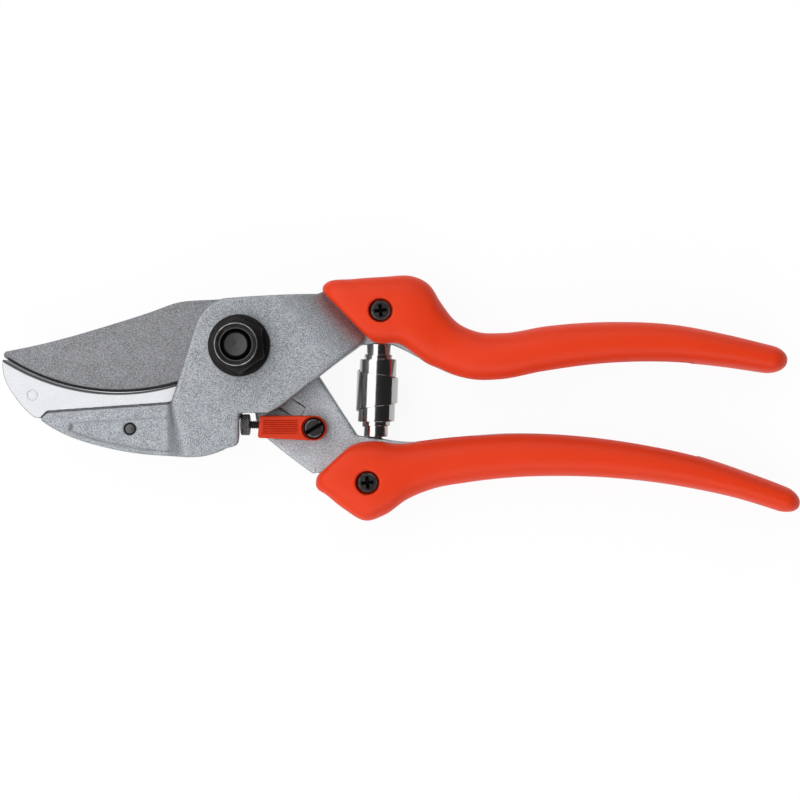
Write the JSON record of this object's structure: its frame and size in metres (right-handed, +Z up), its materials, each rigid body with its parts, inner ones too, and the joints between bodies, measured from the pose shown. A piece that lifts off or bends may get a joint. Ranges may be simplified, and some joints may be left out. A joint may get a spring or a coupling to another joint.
{
  "type": "anvil pruning shears",
  "caption": "Hand pruning shears with a straight-backed blade closing on a metal anvil, cast levers, a volute spring, a thumb catch and covered handles.",
  "frame": {"origin": "on the table, under the pivot, at the middle of the bolt head's flat face", "axes": "+X along the handles, away from the blade; +Y towards the upper handle; +Z up, out of the face with the nut"},
  "size_m": [0.2093, 0.0646, 0.0272],
  "materials": {
    "cast_alloy": "sand-cast, blasted",
    "anvil_metal": "bright, fine-ground",
    "bright_steel": "plain",
    "blade_steel": "grey, fine-grained",
    "black_steel": "black oxide",
    "ring_plastic": "plain",
    "bush_bronze": "plain",
    "grip_plastic": "satin",
    "spring_steel": "polished"
  },
  "bodies": {
    "front": {"anvil_lever": "cast_alloy", "anvil": "anvil_metal", "anvil_pin": "bright_steel", "pivot_bolt": "black_steel", "pivot_washer": "black_steel", "pivot_nut": "black_steel", "nut_ring": "ring_plastic", "upper_grip": "grip_plastic", "upper_grip_screw": "black_steel", "spring": "spring_steel"},
    "rear": {"blade_lever": "cast_alloy", "blade": "blade_steel", "pivot_bush": "bush_bronze", "lower_grip": "grip_plastic", "lower_grip_screw": "black_steel", "catch_screw": "black_steel", "catch_washer": "bright_steel"},
    "catch": {"catch": "grip_plastic"},
    "stop_stem": {"adjuster_stem": "black_steel"},
    "stop_knob": {"adjuster_knob": "black_steel"}
  },
  "joints": [
    {"name": "opening", "type": "hinge", "parent": "front", "child": "rear", "pos_m": [0, 0, 0.009], "axis": [0, 0, -1], "range_deg": [0, 22], "deforming": ["spring"]},
    {"name": "catch_swing", "type": "hinge", "parent": "rear", "child": "catch", "pos_m": [0.0191, -0.0214, 0.0134], "axis": [0, 0, 1], "range_deg": [0, 66]},
    {"name": "stop_travel", "type": "slide", "parent": "catch", "child": "stop_stem", "axis": [1, 0, 0], "range_m": [0, 0.0012]},
    {"name": "stop_turn", "type": "hinge", "parent": "stop_stem", "child": "stop_knob", "pos_m": [0.0012, -0.0205, 0.01345], "axis": [1, 0, 0], "range_deg": [0, 864]}
  ],
  "couplings": [
    {"joint": "catch_swing", "follows": "opening", "ratio": 3},
    {"joint": "stop_turn", "follows": "stop_travel", "rad_per_m": 12566}
  ]
}
